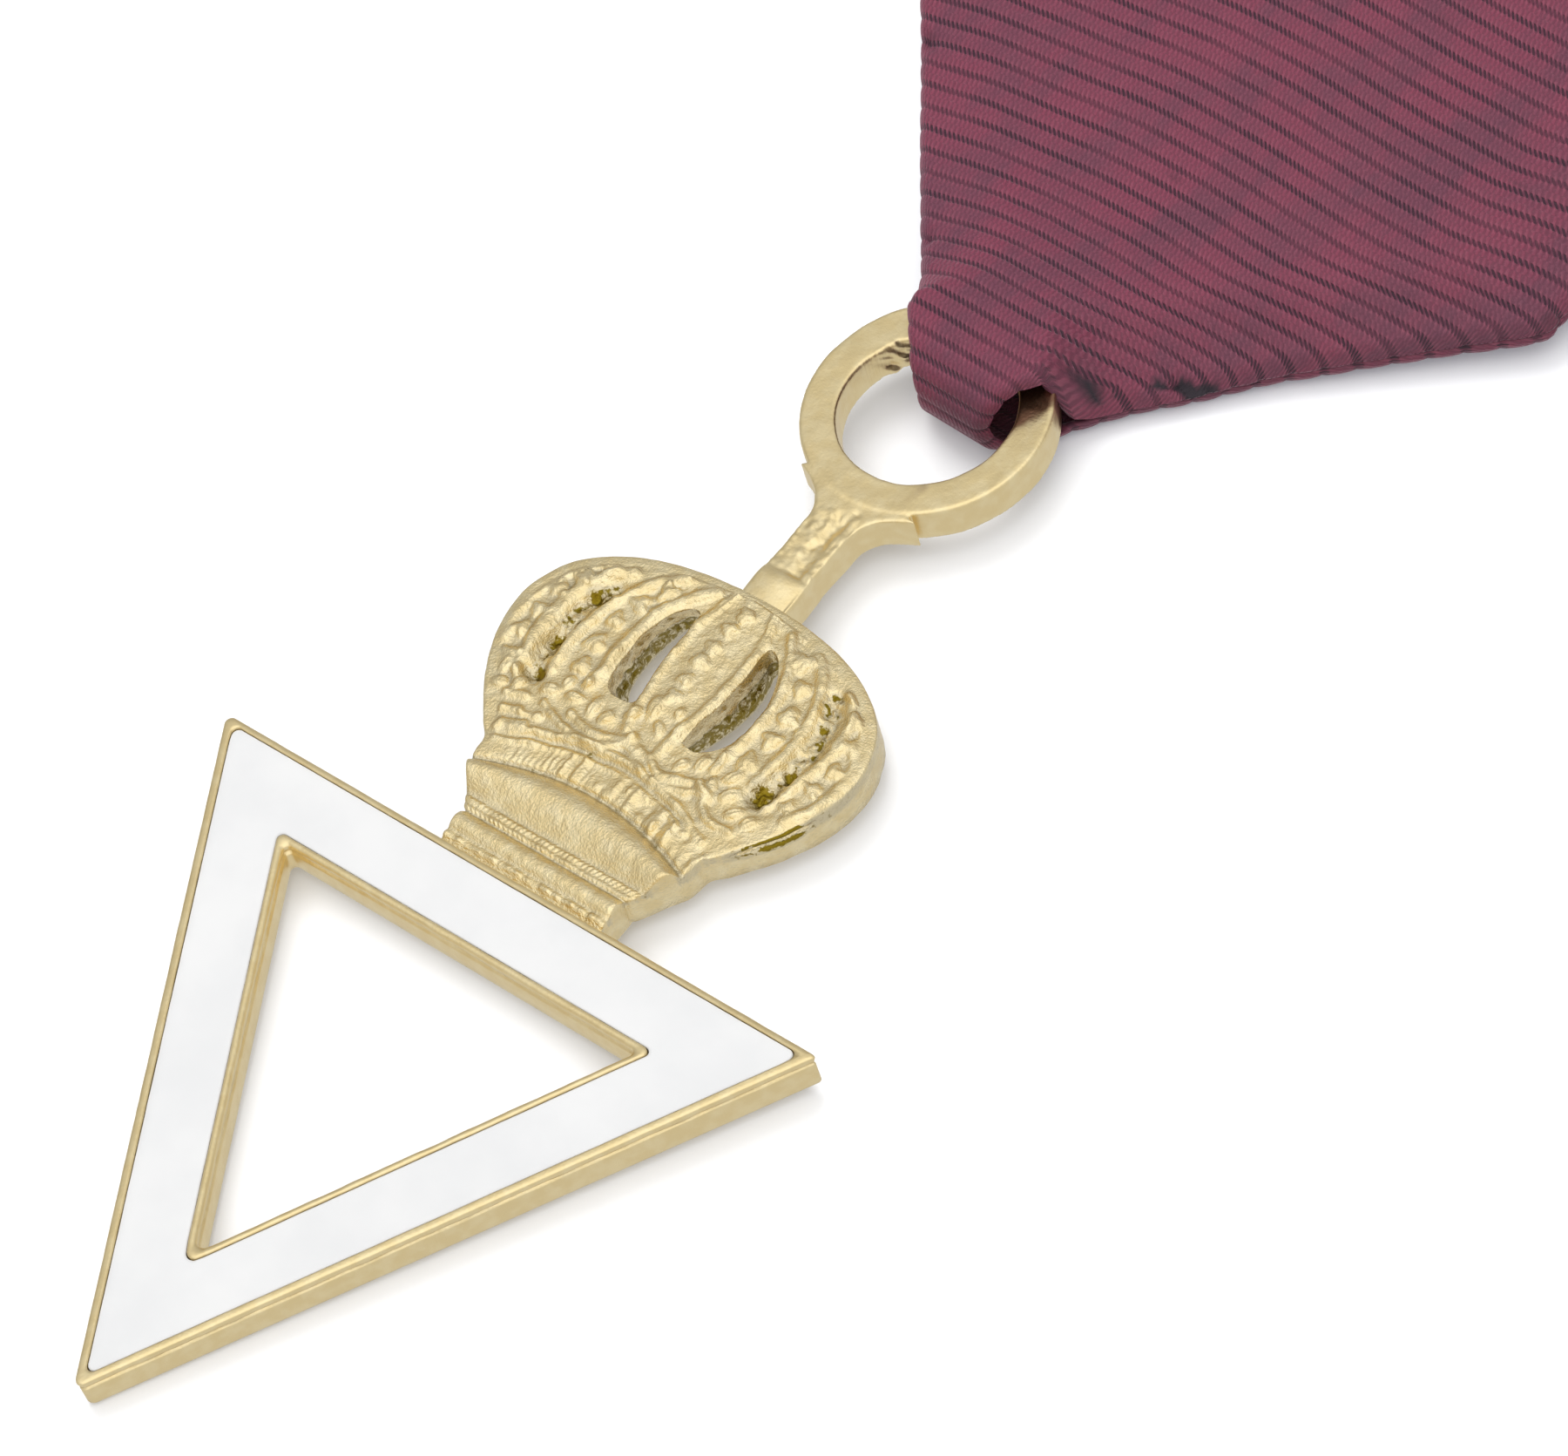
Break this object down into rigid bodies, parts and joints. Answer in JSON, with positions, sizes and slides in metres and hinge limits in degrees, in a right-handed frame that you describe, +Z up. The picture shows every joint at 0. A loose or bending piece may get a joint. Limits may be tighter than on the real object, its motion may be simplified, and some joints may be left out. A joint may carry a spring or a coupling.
{
  "type": "masonic breast jewel",
  "caption": "Breast jewel lying flat: a gilt triangle with white enamel, point down, under a crown, stem and ring, on a corded ribbon folded to a point, with a brooch bar.",
  "frame": {"origin": "on the table, under the middle of the whole", "axes": "+X across the jewel, +Y from the triangle's point to the ribbon's end, +Z up, out of the jewel's face"},
  "size_m": [0.0366, 0.1036, 0.0062],
  "materials": {
    "gilt_casting": "pale gilt over cast brass, grainy relief and brushed flats",
    "white_enamel": "glossy white vitreous enamel",
    "maroon_ribbon": "corded maroon ribbon with watered lustre",
    "gilt_bar": "pale gilt, satin"
  },
  "bodies": {
    "root": {"jewel_casting": "gilt_casting", "enamel": "white_enamel", "ribbon": "maroon_ribbon", "brooch_bar": "gilt_bar"}
  },
  "joints": []
}
